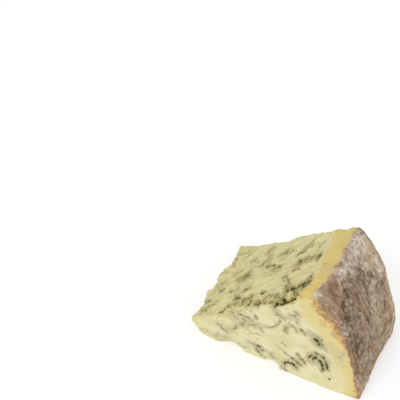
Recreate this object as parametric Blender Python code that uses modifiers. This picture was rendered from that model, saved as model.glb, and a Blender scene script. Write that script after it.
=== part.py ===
"""A wedge cut from a blue cheese wheel, lying on one of its two radial cuts.

Metres, +Z up. The wheel's axis lies along Y on the resting plane, and the wedge opens from it
towards +X: the lower radial cut is the foot at z = 0, the upper one rises at WEDGE_ANGLE, smooth
wire cuts across the wheel face -Y and +Y, and the rind faces +X. The origin is the centre of the
bounding box's base.
"""

import math
import random

import bmesh
import bpy
from mathutils import Matrix, Vector, noise

# Driving dimensions of the wheel and of the cut
WHEEL_RADIUS = 0.1014
WEDGE_ANGLE = math.radians(39.8)
THICKNESS = 0.0545
RIM_DROP = 0.0030
RIM_WIDTH = 0.0240
BARREL_BULGE = 0.0010
FRONT_BOW = 0.0016
RIND_TOE = 0.0026
BACK_SWELL = 0.0012
TIP_LIFT = 0.0014
TIP_RADIUS = 0.0098
TIP_FLARE = 0.0045

# The broken tip: its slanted break passes through these two points of the front face
TIP_BREAK_FOOT = (0.0180, 0.0)
TIP_BREAK_TOP = (0.0070, 0.0085)

# Mesh and relief
SPIN_STEPS = 14
VOXEL = 0.00225
CORNER_FACTOR = 0.5
RELIEF_FACTOR = 0.3
SIDE_BLEND = 0.0035
FOOT_FLAT = 0.0009
BED_DEPTH = 0.0006
SEED = 7

# Where the wheel's axis crosses the base, measured from the origin
AXIS_X = -0.0569
AXIS_Y = -0.0275

# Bites where the paste has crumbled away, in the wheel's own polar terms:
# distance from the axis, place along it, share of the wedge's angle, and the bite's three radii
TIP_BITES = [
    (0.0092, 0.0138, 0.97, (0.0062, 0.0068, 0.0064)),
    (0.0100, 0.0255, 0.10, (0.0060, 0.0060, 0.0040)),
    (0.0100, 0.0430, 0.90, (0.0048, 0.0052, 0.0060)),
    (0.0200, 0.0400, 0.02, (0.0060, 0.0070, 0.0030)),
]
FOOT_BITES = [
    (0.0340, -0.0005, 0.00, (0.0062, 0.0045, 0.0052)),
    (0.0565, -0.0005, 0.00, (0.0048, 0.0035, 0.0034)),
    (0.0450, 0.0545, 0.00, (0.0055, 0.0045, 0.0040)),
    (0.0700, 0.0530, 0.00, (0.0050, 0.0050, 0.0032)),
]
UPPER_EDGE_BITES = [
    (0.0365, 0.0025, 1.02, (0.0048, 0.0034, 0.0036)),
    (0.0430, 0.0080, 1.03, (0.0040, 0.0036, 0.0034)),
    (0.0610, 0.0010, 1.01, (0.0036, 0.0030, 0.0030)),
    (0.0735, 0.0010, 1.00, (0.0060, 0.0036, 0.0040)),
    (0.0835, 0.0008, 1.00, (0.0046, 0.0032, 0.0036)),
    (0.0800, 0.0085, 1.02, (0.0036, 0.0052, 0.0036)),
    (0.0865, 0.0120, 1.02, (0.0044, 0.0030, 0.0030)),
    (0.1048, -0.0010, 0.97, (0.0072, 0.0075, 0.0140)),
    (0.0980, 0.0552, 1.05, (0.0120, 0.0064, 0.0080)),
    (0.0300, 0.0580, 1.02, (0.0060, 0.0034, 0.0036)),
    (0.0520, 0.0555, 1.02, (0.0050, 0.0030, 0.0030)),
]
FRONT_CLEFTS = [
    (0.0825, -0.0008, 0.33, (0.0056, 0.0034, 0.0028)),
    (0.0865, -0.0006, 0.25, (0.0030, 0.0032, 0.0040)),
    (0.0690, -0.0010, 0.17, (0.0050, 0.0030, 0.0026)),
    (0.0855, -0.0008, 0.56, (0.0028, 0.0030, 0.0036)),
    (0.0495, -0.0010, 0.26, (0.0046, 0.0028, 0.0024)),
]

PASTE = (0.74, 0.64, 0.32)


def polar(radius, along, share):
    """A point of the wheel: its distance from the axis, its place along it, its share of the angle."""
    angle = WEDGE_ANGLE * share
    return Vector((radius * math.cos(angle), along, radius * math.sin(angle)))


def radial_section():
    """Half the wheel's section, from the broken tip to the rind, with the back of the rim rounded off."""
    rim_start = WHEEL_RADIUS - RIM_WIDTH
    points = [(TIP_RADIUS, 0.0), (WHEEL_RADIUS, 0.0)]
    rind_steps = 6
    rind_top = THICKNESS - RIM_DROP - 0.0045
    for step in range(1, rind_steps + 1):
        share = step / rind_steps
        bulge = BARREL_BULGE * math.sin(math.pi * min(1.0, share * 1.1))
        points.append((WHEEL_RADIUS + bulge, rind_top * share))
    points.append((WHEEL_RADIUS - 0.0006, THICKNESS - RIM_DROP - 0.0018))
    points.append((WHEEL_RADIUS - 0.0030, THICKNESS - RIM_DROP))
    points.append((rim_start + RIM_WIDTH * 0.45, THICKNESS - RIM_DROP * 0.70))
    points.append((rim_start, THICKNESS - RIM_DROP * 0.15))
    points.append((TIP_RADIUS + 0.009, THICKNESS))
    points.append((TIP_RADIUS, THICKNESS + TIP_FLARE))
    return points


def turned_wedge():
    """The section turned about the wheel's axis through the wedge's angle, as one closed mesh."""
    bm = bmesh.new()
    corners = [bm.verts.new((radius, along, 0.0)) for radius, along in radial_section()]
    section = bm.faces.new(corners)
    bmesh.ops.spin(
        bm,
        geom=[section, *section.edges, *section.verts],
        cent=(0.0, 0.0, 0.0),
        axis=(0.0, -1.0, 0.0),
        angle=WEDGE_ANGLE,
        steps=SPIN_STEPS,
    )
    break_off_tip(bm)
    bmesh.ops.recalc_face_normals(bm, faces=bm.faces)
    return bm


def break_off_tip(bm):
    """Cuts the thin end away along a slant, so that the tip stands clear of the base."""
    foot = Vector((TIP_BREAK_FOOT[0], 0.0, TIP_BREAK_FOOT[1]))
    top = Vector((TIP_BREAK_TOP[0], 0.0, TIP_BREAK_TOP[1]))
    slope = (top - foot).normalized()
    outward = Vector((-slope.z, 0.0, slope.x))
    if outward.x > 0:
        outward.negate()
    cut = bmesh.ops.bisect_plane(
        bm,
        geom=[*bm.verts, *bm.edges, *bm.faces],
        plane_co=foot,
        plane_no=outward,
        clear_outer=True,
    )
    rim = [part for part in cut["geom_cut"] if isinstance(part, bmesh.types.BMEdge)]
    bmesh.ops.contextual_create(bm, geom=rim)


def new_object(name, bm, collection):
    """Writes the bmesh to a new object in the collection."""
    mesh = bpy.data.meshes.new(name)
    bm.to_mesh(mesh)
    bm.free()
    made = bpy.data.objects.new(name, mesh)
    collection.objects.link(made)
    return made


def bite_cutter(name, bite, collection, rng):
    """A lumpy ball where a crumb has come away."""
    radius, along, share, radii = bite
    bm = bmesh.new()
    bmesh.ops.create_icosphere(bm, subdivisions=2, radius=1.0)
    for vert in bm.verts:
        vert.co *= 1.0 + 0.16 * (rng.random() - 0.5)
    size = Matrix.Diagonal((*radii, 1.0))
    place = Matrix.Translation(polar(radius, along, share))
    turn = Matrix.Rotation(-WEDGE_ANGLE * share, 4, "Y")
    bmesh.ops.transform(bm, matrix=place @ turn @ size, verts=bm.verts)
    cutter = new_object(name, bm, collection)
    cutter.hide_render = True
    cutter.display_type = "WIRE"
    return cutter


def random_bites(rng):
    """Small bites along the crumbly borders of both radial cuts, spread by chance."""
    bites = []
    for share, along in ((0.0, THICKNESS), (1.0, 0.0), (1.0, THICKNESS)):
        reach = TIP_RADIUS + 0.016
        while reach < WHEEL_RADIUS - 0.018:
            reach += 0.006 + 0.012 * rng.random()
            size = 0.0016 + 0.0018 * rng.random()
            outside = 0.6 * size * (1 if along > 0 else -1)
            bites.append((reach, along + outside, share, (size * 1.4, size * 1.3, 0.0024)))
    return bites


def cut_and_remesh(wedge, cutters):
    """Takes the bites out, then evens the skin into one net of small faces."""
    crumble = wedge.modifiers.new("crumble", "BOOLEAN")
    crumble.operation = "DIFFERENCE"
    crumble.operand_type = "COLLECTION"
    crumble.collection = cutters
    crumble.solver = "EXACT"
    crumble.use_self = True
    even = wedge.modifiers.new("even", "REMESH")
    even.mode = "VOXEL"
    even.voxel_size = VOXEL
    depsgraph = bpy.context.evaluated_depsgraph_get()
    evened = bpy.data.meshes.new_from_object(wedge.evaluated_get(depsgraph))
    wedge.modifiers.clear()
    wedge.data = evened


def soften(wedge, factor):
    """Rounds the skin off a little, as soft paste does under the knife."""
    bm = bmesh.new()
    bm.from_mesh(wedge.data)
    bmesh.ops.smooth_vert(
        bm, verts=bm.verts, factor=factor, use_axis_x=True, use_axis_y=True, use_axis_z=True
    )
    bm.to_mesh(wedge.data)
    bm.free()


def smooth_step(value, low, high):
    share = min(1.0, max(0.0, (value - low) / (high - low)))
    return share * share * (3.0 - 2.0 * share)


def face_shares(point):
    """How far a point belongs to the rind, the two radial cuts and the two wire cuts, each 0 to 1."""
    radius = math.hypot(point.x, point.z)
    angle = math.atan2(point.z, point.x)
    upper_gap = radius * math.sin(WEDGE_ANGLE - angle)
    rind = smooth_step(radius, WHEEL_RADIUS - 0.0030, WHEEL_RADIUS - 0.0008)
    upper = (1.0 - rind) * (1.0 - smooth_step(upper_gap, 0.0, SIDE_BLEND))
    foot = 1.0 - smooth_step(point.z, 0.0, SIDE_BLEND)
    front = (1.0 - rind) * (1.0 - smooth_step(point.y, 0.0, SIDE_BLEND))
    back = (1.0 - rind) * smooth_step(point.y, THICKNESS - RIM_DROP - SIDE_BLEND, THICKNESS - RIM_DROP)
    return rind, upper, foot, front, back


def crumb_relief(point):
    """Lumps and small pits of torn curd, deepest by the smooth face and the tip."""
    lumps = noise.fractal(point * 95.0, 0.6, 2.1, 3)
    distances = noise.voronoi(point * 140.0)[0]
    grains = min(0.5, distances[1] - distances[0])
    edge = math.exp(-max(0.0, point.y) / 0.012)
    tip = 1.0 - smooth_step(math.hypot(point.x, point.z), 0.015, 0.045)
    torn = 0.75 + 0.75 * max(edge, tip)
    return torn * (0.00080 * lumps + 0.0020 * (grains - 0.25))


def drag_relief(point):
    """Long shallow ridges that the knife has pulled across the upper cut, slanting towards the rind."""
    along_cut = math.hypot(point.x, point.z)
    across = point.y * 0.85 - along_cut * 0.52
    stretched = Vector((along_cut * 28.0 + point.y * 18.0, across * 170.0, 3.7))
    return 0.00065 * noise.fractal(stretched, 0.7, 2.0, 3)


def smooth_relief(point):
    """The gentle waves of a wire cut, with a few open pores."""
    waves = 0.00032 * noise.fractal(point * 70.0, 0.8, 2.0, 2)
    pores = noise.noise(point * 210.0 + Vector((4.0, 1.0, 9.0)))
    return waves - 0.0007 * smooth_step(pores, 0.38, 0.75)


def rind_relief(point):
    """The wrinkled, pitted crust: broad dents with finer creases across them."""
    dents = noise.fractal(point * 48.0, 0.7, 2.1, 3)
    creases = abs(noise.noise(point * 160.0 + Vector((7.0, 2.0, 5.0))))
    return 0.00110 * dents - 0.0010 * max(0.0, 0.30 - creases)


def roughen(wedge):
    """Moves each point of the skin in or out by the relief of the face that it lies on."""
    mesh = wedge.data
    moves = []
    for vert in mesh.vertices:
        point = vert.co.copy()
        rind, upper, foot, front, back = face_shares(point)
        height = rind * rind_relief(point)
        height += upper * (crumb_relief(point) + drag_relief(point))
        height += (1.0 - upper) * (1.0 - foot) * max(front, back) * smooth_relief(point)
        height += foot * max(0.0, 1.0 - rind) * -abs(crumb_relief(point)) * 0.5
        moves.append(height)
    for vert, normal, height in zip(mesh.vertices, [v.normal.copy() for v in mesh.vertices], moves):
        vert.co += normal * height


def warp(wedge):
    """Bows the front out along the foot, draws out a rind toe, swells the back and lifts the tip."""
    for vert in wedge.data.vertices:
        radius = math.hypot(vert.co.x, vert.co.z)
        share = math.atan2(vert.co.z, vert.co.x) / WEDGE_ANGLE
        near = 1.0 - smooth_step(vert.co.y, 0.0, 0.020)
        low = 1.0 - smooth_step(vert.co.z, 0.0, 0.022)
        outer = smooth_step(radius, 0.055, 0.066) * (1.0 - 0.7 * smooth_step(radius, 0.090, 0.102))
        toe = smooth_step(radius, 0.092, 0.101)
        swell = math.sin(math.pi * min(1.0, max(0.0, share)))
        far = smooth_step(vert.co.y, 0.036, 0.050)
        inner = 1.0 - smooth_step(radius, 0.012, 0.034)
        vert.co.x += RIND_TOE * near * low * toe
        vert.co.y -= FRONT_BOW * near * low * outer
        vert.co.y += BACK_SWELL * far * swell * toe
        vert.co.z += TIP_LIFT * inner * smooth_step(share, 0.3, 0.9)


def bed_down(wedge):
    """Flattens what comes near the base, where the soft paste has settled on it."""
    for vert in wedge.data.vertices:
        if vert.co.z < FOOT_FLAT:
            vert.co.z = 0.0
        else:
            vert.co.z -= BED_DEPTH * (1.0 - smooth_step(vert.co.z, FOOT_FLAT, 0.006))


def paste_material():
    material = bpy.data.materials.new("blue_cheese_paste")
    material.use_nodes = True
    shader = material.node_tree.nodes["Principled BSDF"]
    shader.inputs["Base Color"].default_value = (*PASTE, 1.0)
    shader.inputs["Roughness"].default_value = 0.55
    shader.inputs["Metallic"].default_value = 0.0
    return material


def main():
    for old in list(bpy.data.objects):
        bpy.data.objects.remove(old)
    parts = bpy.data.collections.new("blue_cheese_wedge")
    cutters = bpy.data.collections.new("crumb_bites")
    bpy.context.scene.collection.children.link(parts)
    bpy.context.scene.collection.children.link(cutters)

    rng = random.Random(SEED)
    wedge = new_object("cheese_wedge", turned_wedge(), parts)
    bites = TIP_BITES + FOOT_BITES + UPPER_EDGE_BITES + FRONT_CLEFTS + random_bites(rng)
    for number, bite in enumerate(bites):
        bite_cutter(f"bite_{number:02d}", bite, cutters, rng)
    cut_and_remesh(wedge, cutters)
    soften(wedge, CORNER_FACTOR)
    roughen(wedge)
    soften(wedge, RELIEF_FACTOR)
    warp(wedge)
    bed_down(wedge)

    wedge.data.transform(Matrix.Translation((AXIS_X, AXIS_Y, 0.0)))
    wedge.data.materials.clear()
    wedge.data.materials.append(paste_material())
    wedge.data.shade_smooth()
    wedge.data.set_sharp_from_angle(angle=math.radians(50.0))
    wedge.data.update()


main()
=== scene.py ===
import math
import random

import bmesh
import bpy
import numpy as np
from mathutils import Euler, Matrix, Vector, noise


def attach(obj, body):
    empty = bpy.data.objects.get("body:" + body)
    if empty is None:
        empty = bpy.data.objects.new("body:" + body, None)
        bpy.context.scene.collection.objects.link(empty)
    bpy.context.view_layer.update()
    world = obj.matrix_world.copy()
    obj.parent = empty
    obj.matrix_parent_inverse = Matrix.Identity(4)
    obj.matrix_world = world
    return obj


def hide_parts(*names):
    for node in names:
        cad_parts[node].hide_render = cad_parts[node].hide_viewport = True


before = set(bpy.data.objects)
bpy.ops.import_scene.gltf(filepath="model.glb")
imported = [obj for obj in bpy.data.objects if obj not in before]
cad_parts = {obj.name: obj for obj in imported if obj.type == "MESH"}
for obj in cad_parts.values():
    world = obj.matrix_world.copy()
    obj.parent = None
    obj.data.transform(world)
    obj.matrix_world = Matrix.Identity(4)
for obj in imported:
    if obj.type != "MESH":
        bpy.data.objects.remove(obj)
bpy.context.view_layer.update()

# The cheese and the camera are in millimetres, made metres where they are written. The floor and
# the lamps are in metres
mm = 0.001

# The wedge is a sector about an axis that lies on the resting plane, along Y
sector = {
    "axisX": -56.9,
    "frontY": -27.5,  # the smooth wire cut in front
    "thickness": 54.5,  # from that cut to the one behind
    "angle": math.radians(39.8),  # from the foot up to the torn upper cut
    "radius": 101.8,  # from the axis out to the rind
    "dragAngle": math.radians(25.0),  # how far the knife's drag marks lean off the radius
}

# A stroke's place is where the line of sight meets the flat of its cut. A point that lies off that
# flat is looked up along the same line, by these shares of how far off it lies
lean = {
    "tornOut": 2.08,
    "tornAlong": -1.80,
    "frontOut": 0.53,
    "frontUp": 1.17,
}


# Fields of numbers, one number for each point of the skin

clouds = {"fading": 0.8, "finer": 2.0}  # how each octave of a noise follows the one before


def ease(values, low, high):
    # 0 below low and 1 above high, with a smooth step between
    share = np.clip((values - low) / (high - low), 0.0, 1.0)
    return share * share * (3.0 - 2.0 * share)


def rough(places, size, octaves=1, shift=0.0):
    # cloudy noise about zero, in lumps of this size
    spots = (places / size + shift).tolist()
    fading, finer = clouds["fading"], clouds["finer"]
    return np.array([noise.fractal(Vector(spot), fading, finer, octaves) for spot in spots])


def cells(places, size, shift=0.0, most=0.6):
    # 0 between two grains, rising to most inside each
    spots = (places / size + shift).tolist()
    gaps = [noise.voronoi(Vector(spot))[0] for spot in spots]
    return np.array([min(most, gap[1] - gap[0]) for gap in gaps])


def awayFromPath(flat, path):
    # how far each place lies from a path, which is a round spot where it has one corner
    nearest = np.full(len(flat), 1e9)
    corners = [np.array(corner, float) for corner in path]
    for start, end in zip(corners, corners[1:] or corners):
        run = end - start
        share = np.clip((flat - start) @ run / max(run @ run, 1e-9), 0.0, 1.0)
        foot = start + share[:, None] * run
        nearest = np.minimum(nearest, np.hypot(*(flat - foot).T))
    return nearest


def drawn(flat, strokes, spread=1.0):
    # strokes of (strength, half width, path), each fading out on both sides
    field = np.zeros(len(flat))
    for strength, width, path in strokes:
        away = awayFromPath(flat, path) / (width * spread)
        field = np.maximum(field, strength * np.exp(-away * away))
    return field


def crinkled(flat, places, reach, shift):
    # moves flat places about, so that a stroke comes out jagged
    coarse = np.stack([rough(places, 3.0, 2, shift + other) for other in (0.0, 31.0)], 1)
    fine = np.stack([rough(places, 1.1, 1, shift + other) for other in (57.0, 83.0)], 1)
    return flat + reach * (coarse + 0.55 * fine)


# The skin: a fine net over a copy of the solid, with the solid's facets smoothed off

skin = {
    "net": 0.51,  # a finer one passes 200,000 triangles
    "smoothing": 9,  # rounds, each with this pull
    "pull": 0.5,
}


def fineCopy(name, source):
    bm = bmesh.new()
    bm.from_mesh(source.data)
    bmesh.ops.remove_doubles(bm, verts=bm.verts, dist=1e-6)
    bmesh.ops.recalc_face_normals(bm, faces=bm.faces)
    mesh = bpy.data.meshes.new(name)
    bm.to_mesh(mesh)
    bm.free()
    piece = bpy.data.objects.new(name, mesh)
    bpy.context.scene.collection.objects.link(piece)
    net = piece.modifiers.new("net", "REMESH")
    net.mode = "VOXEL"
    net.voxel_size = skin["net"] * mm
    evaluated = piece.evaluated_get(bpy.context.evaluated_depsgraph_get())
    piece.data = bpy.data.meshes.new_from_object(evaluated)
    piece.modifiers.clear()
    bm = bmesh.new()
    bm.from_mesh(piece.data)
    axes = {"use_axis_x": True, "use_axis_y": True, "use_axis_z": True}
    for _ in range(skin["smoothing"]):
        bmesh.ops.smooth_vert(bm, verts=bm.verts, factor=skin["pull"], **axes)
    bm.to_mesh(piece.data)
    bm.free()
    return piece


def readCoords(mesh):
    coords = np.empty(len(mesh.vertices) * 3, np.float32)
    mesh.vertices.foreach_get("co", coords)
    return coords.reshape(-1, 3).astype(float) / mm


def writeCoords(mesh, coords):
    mesh.vertices.foreach_set("co", (coords * mm).astype(np.float32).ravel())
    mesh.update()


def readNormals(mesh):
    normals = np.empty(len(mesh.vertices) * 3, np.float32)
    mesh.vertex_normals.foreach_get("vector", normals)
    return normals.reshape(-1, 3).astype(float)


def addField(mesh, name, values):
    flat = values.ndim == 1
    layer = mesh.attributes.new(name, "FLOAT" if flat else "FLOAT_VECTOR", "POINT")
    layer.data.foreach_set("value" if flat else "vector", values.astype(np.float32).ravel())


wedge = fineCopy("veined_wedge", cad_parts["cheese_wedge"])
coords = readCoords(wedge.data)
normals = readNormals(wedge.data)
print("skin:", len(coords), "points,", 2 * len(wedge.data.polygons), "triangles")

# Where each point lies about the axis
outX = coords[:, 0] - sector["axisX"]
along = coords[:, 1] - sector["frontY"]
height = coords[:, 2]
radius = np.hypot(outX, height)
turn = np.arctan2(height, outX)
arc = sector["radius"] * turn
radial = np.stack([outX / radius, np.zeros(len(radius)), height / radius], 1)
tornDown = radius * np.sin(sector["angle"] - turn)  # how far below the torn upper cut
tornOut = radius * np.cos(sector["angle"] - turn)  # how far out along it

# Where it lies on the flat of each cut, along the line of sight on the two cuts that show
tornFlat = np.stack([tornOut + lean["tornOut"] * tornDown, along + lean["tornAlong"] * tornDown], 1)
frontFlat = np.stack([outX + lean["frontOut"] * along, height + lean["frontUp"] * along], 1)
backFlat = np.stack([outX, height], 1)
footFlat = np.stack([outX, along], 1)

# Unevenness of three sizes, which borders and colours follow
amble = rough(coords, 4.5, 2, 41.0)
fleck = rough(coords, 2.2, 2, 5.0)
speck = rough(coords, 1.2, 1, 53.0)

# Where the rind begins on each cut, as a distance out from the axis
rindEdge = {
    "turn": (0, 7, 11, 15, 20, 25, 28, 30, 33, 36, 40),  # degrees up the front, from the foot
    "front": (102.6, 102.6, 103.0, 102.4, 100.9, 101.0, 102.0, 98.8, 97.2, 97.0, 99.0),
    "back": (101.2, 101.0, 101.6, 100.6, 101.0, 101.3, 100.4, 99.4, 98.0, 97.2, 97.0),
    "along": (0, 4, 7, 18, 25, 32, 40, 52),  # back over the torn cut
    "torn": (98.6, 99.4, 101.4, 101.9, 101.5, 100.4, 99.7, 98.8),
    "foot": 101.6,
}
frontOut = np.hypot(*frontFlat.T)
frontTurn = np.degrees(np.arctan2(frontFlat[:, 1], frontFlat[:, 0]))
frontGap = np.interp(frontTurn, rindEdge["turn"], rindEdge["front"]) - frontOut
backGap = np.interp(np.degrees(turn), rindEdge["turn"], rindEdge["back"]) - radius
tornGap = np.interp(tornFlat[:, 1], rindEdge["along"], rindEdge["torn"]) - tornFlat[:, 0]
footGap = rindEdge["foot"] - radius

# How far each point belongs to each face, by the way that it looks
tornNormal = np.array([-math.sin(sector["angle"]), 0.0, math.cos(sector["angle"])])
towardsRind = (normals * radial).sum(1)
front = ease(-normals[:, 1], 0.35, 0.80)
back = ease(normals[:, 1], 0.35, 0.80)
foot = ease(-normals[:, 2], 0.60, 0.95) * (1.0 - ease(height, 1.0, 2.5))
torn = ease(normals @ tornNormal, 0.30, 0.75) * (1.0 - ease(tornDown, 6.0, 9.0))
crust = ease(towardsRind + 0.30 * fleck, 0.45, 0.65) * ease(radius, 94.0, 96.0)
rindBorders = (
    (front, frontGap, 1.0),
    (back, backGap, 1.0),
    (torn, tornGap, 1.7),  # softer where the knife dragged the rind in
    (foot, footGap, 1.0),
)
for share, gap, blur in rindBorders:
    edging = ease((1.5 * fleck + 0.8 * speck - gap) / blur, -1.0, 0.9)
    crust = np.maximum(crust, ease(share, 0.3, 0.6) * edging)
brokenTip = 1.0 - ease(radius + 3.0 * fleck, 15.0, 22.0)
torn = np.maximum(torn, 0.5 * brokenTip)
print("faces told apart: rind, torn cut, wire cuts, foot")


# Veins, as (darkness, half width, path). On the torn cut a place is the distance out from the axis
# and the distance back from the front face, on the wire cuts it is out and up

tornVeins = {
    # the crevice strokes are blue mould in the fissures of the crumbly front border, and partly painted
    # shade of its pockets and of the crumbs' undersides
    "crevice": [
        (0.54, 1.3, [(35.4, 0.8), (36.8, 2.6), (38.3, 4.4)]),
        (0.60, 1.0, [(40.0, 6.2), (42.6, 5.6)]),
        (0.80, 1.1, [(39.9, 9.9), (42.2, 9.6)]),
        (0.55, 1.0, [(46.2, 6.3), (49.9, 9.1)]),
        (0.50, 1.1, [(47.8, 5.8), (49.5, 4.8)]),
        (0.65, 1.2, [(53.5, 3.1), (54.2, 4.9)]),
        (1.10, 1.1, [(61.7, 0.6), (60.4, 2.0)]),
        (0.60, 0.9, [(65.3, 1.6), (68.5, 0.6), (71.5, -0.2)]),
        (0.55, 0.9, [(63.0, 4.6), (66.5, 6.6)]),
        (1.20, 1.6, [(76.4, -3.0), (78.7, -3.1), (79.4, -1.4), (77.4, 1.2)]),
        (1.30, 1.3, [(79.0, -3.8), (83.5, -3.6)]),
        (0.62, 0.9, [(76.8, 2.2), (74.0, 3.2), (71.6, 5.2), (69.5, 6.8)]),
        (1.10, 1.1, [(79.2, -0.4), (83.0, -1.6), (85.7, -2.0), (87.1, -0.6)]),
        (0.80, 0.9, [(87.1, -0.8), (86.4, 1.6), (85.1, 3.4), (82.3, 7.2)]),
        (1.15, 1.2, [(82.3, 7.2), (78.9, 7.9), (75.8, 9.5)]),
        (0.65, 0.8, [(75.8, 9.5), (73.6, 14.2), (69.5, 18.4), (67.0, 20.6)]),
        (0.65, 0.8, [(82.3, 7.2), (84.8, 9.8)]),
        (1.15, 1.4, [(85.2, 9.3), (87.0, 10.0), (88.6, 11.4)]),
        (0.55, 0.9, [(88.3, 14.2), (87.9, 17.4)]),
    ],
    "smudges": [
        (0.80, 1.1, [(84.2, 32.2), (83.3, 29.1)]),
        (0.55, 1.1, [(80.1, 31.6), (76.2, 32.2), (72.0, 30.3)]),
        (0.60, 1.5, [(72.0, 30.3), (74.5, 27.0)]),
        (0.65, 1.1, [(58.2, 28.9), (56.0, 29.8)]),
        (0.60, 1.1, [(52.2, 31.7), (48.7, 32.2)]),
        (0.60, 1.2, [(43.8, 37.1), (43.0, 35.2)]),
        (0.55, 1.0, [(34.4, 40.7), (32.0, 40.2)]),
        (0.65, 2.0, [(35.4, 28.6), (34.7, 26.3)]),
        (0.45, 1.3, [(37.0, 27.6), (39.2, 27.3)]),
        (0.75, 0.9, [(41.3, 16.1), (45.0, 16.9)]),
        (0.45, 0.9, [(24.6, 45.9), (27.0, 46.8)]),
        (0.45, 1.0, [(25.0, 31.3), (29.0, 33.2)]),
        (0.45, 0.9, [(16.6, 24.3), (21.0, 26.6)]),
        (0.50, 1.0, [(22.1, 19.0), (25.0, 20.0)]),
        (0.50, 1.1, [(31.9, 16.9), (34.5, 18.4)]),
        (0.70, 0.9, [(60.8, 9.9), (57.1, 10.1)]),
        (0.65, 1.2, [(52.5, 8.5), (50.0, 7.4)]),
        (0.60, 1.1, [(16.0, 11.6), (18.5, 13.0)]),
        (0.50, 1.0, [(23.9, 8.6), (26.0, 9.6)]),
        (0.55, 1.0, [(56.5, 42.8), (56.2, 40.2), (52.1, 39.8)]),
        (0.50, 1.3, [(40.9, 46.7), (40.7, 44.0)]),
        (0.55, 1.2, [(70.4, 38.0), (66.0, 36.4)]),
        (0.45, 1.0, [(74.2, 41.7), (71.0, 40.5)]),
        (0.45, 0.9, [(62.2, 40.1), (60.0, 39.4)]),
    ],
}

frontVeins = {
    "tipCurls": [
        (0.50, 0.70, [(32.9, 27.2), (34.7, 25.7), (37.0, 23.4), (39.3, 19.6)]),
        (0.75, 0.70, [(37.3, 27.6), (39.8, 28.0), (42.4, 28.4), (44.6, 27.2)]),
        (0.75, 0.80, [(40.6, 25.4), (39.2, 20.1)]),
        (0.70, 0.70, [(26.0, 14.2), (27.5, 12.5), (29.7, 11.7), (31.6, 10.1)]),
        (0.55, 0.70, [(30.1, 12.4), (32.7, 12.8), (35.3, 15.8), (36.7, 18.7)]),
        (0.60, 0.75, [(41.8, 19.5), (42.5, 22.0), (44.7, 23.7), (47.5, 25.8), (49.0, 23.6), (50.9, 21.6)]),
        (0.55, 0.70, [(51.5, 26.5), (54.0, 26.9), (57.2, 29.7), (58.8, 33.2), (59.1, 35.8)]),
        (0.40, 0.80, [(22.7, 3.4), (26.5, 5.0), (30.2, 6.7)]),
    ],
    "upperCurls": [
        (0.60, 0.90, [(56.3, 42.7), (56.8, 40.0), (57.9, 38.1), (60.0, 38.8), (61.8, 37.8)]),
        (0.70, 1.00, [(65.0, 42.4), (66.8, 42.9), (68.2, 44.2), (67.8, 45.5)]),
        (0.50, 0.90, [(67.6, 41.8), (68.5, 38.7)]),
        (0.60, 0.80, [(62.5, 29.2), (63.4, 33.8), (65.1, 35.2), (66.9, 34.7), (68.1, 32.4)]),
        (0.75, 0.85, [(70.5, 35.1), (72.5, 33.1)]),
        (0.60, 0.65, [(74.9, 36.6), (77.9, 34.7), (79.8, 33.6)]),
        (0.50, 0.70, [(60.8, 20.1), (63.4, 18.5)]),
        (0.40, 0.70, [(58.0, 16.5), (61.4, 14.3)]),
    ],
    "darkKnots": [
        (1.55, 1.30, [(78.8, 32.3), (80.3, 29.8)]),
        (0.75, 0.90, [(79.8, 33.6), (81.7, 33.1)]),
        (0.85, 0.60, [(80.1, 29.1), (82.0, 28.6), (84.2, 27.2)]),
        (0.55, 0.60, [(78.8, 26.2), (80.2, 27.0)]),
        (1.45, 1.40, [(77.3, 16.6), (78.4, 18.9)]),
        (1.40, 0.90, [(78.4, 18.9), (79.8, 18.0), (81.1, 17.4), (82.8, 14.6), (83.3, 12.7)]),
        (1.00, 0.70, [(78.6, 21.8), (82.3, 21.9), (83.5, 21.5)]),
        (1.15, 0.80, [(83.2, 20.7), (84.8, 17.9), (85.5, 13.4)]),
        (0.65, 0.70, [(81.1, 17.4), (83.2, 19.2)]),
        (0.65, 0.70, [(84.7, 14.1), (86.2, 13.9)]),
        (1.15, 0.80, [(62.8, 4.4), (64.3, 6.9), (65.8, 6.7), (68.9, 5.3)]),
        (1.25, 0.85, [(67.5, 11.0), (69.4, 10.5), (70.3, 8.8)]),
        (1.00, 0.65, [(69.9, 15.7), (71.5, 13.9), (73.1, 12.1)]),
        (0.60, 0.70, [(69.9, 8.1), (72.2, 8.3)]),
        (0.45, 0.55, [(73.8, 13.1), (76.0, 16.0)]),
        (0.50, 1.60, [(78.6, 18.2), (82.7, 16.4), (84.4, 14.2)]),
        (0.60, 0.70, [(62.9, 12.6), (64.0, 12.2)]),
    ],
    "footCurls": [
        (0.60, 0.85, [(42.8, 10.3), (44.6, 9.8), (46.9, 9.0), (48.7, 9.5)]),
        (1.10, 0.60, [(48.7, 9.5), (48.1, 6.0)]),
        (1.10, 0.60, [(49.8, 9.7), (50.6, 7.0)]),
        (0.80, 0.60, [(51.7, 8.1), (52.5, 7.5)]),
        (0.60, 0.85, [(49.2, 4.6), (52.2, 2.7)]),
        (0.55, 1.20, [(55.4, 6.7), (58.0, 6.6)]),
        (1.20, 1.00, [(60.4, -1.2), (62.7, -0.5)]),
        (0.40, 0.70, [(38.1, 5.5), (43.3, 4.8)]),
    ],
    "rindTraces": [
        (0.40, 0.70, [(92.3, 27.7), (93.6, 30.6)]),
        (0.30, 0.60, [(90.6, 19.8), (94.0, 21.0), (97.5, 22.2)]),
    ],
}
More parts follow.
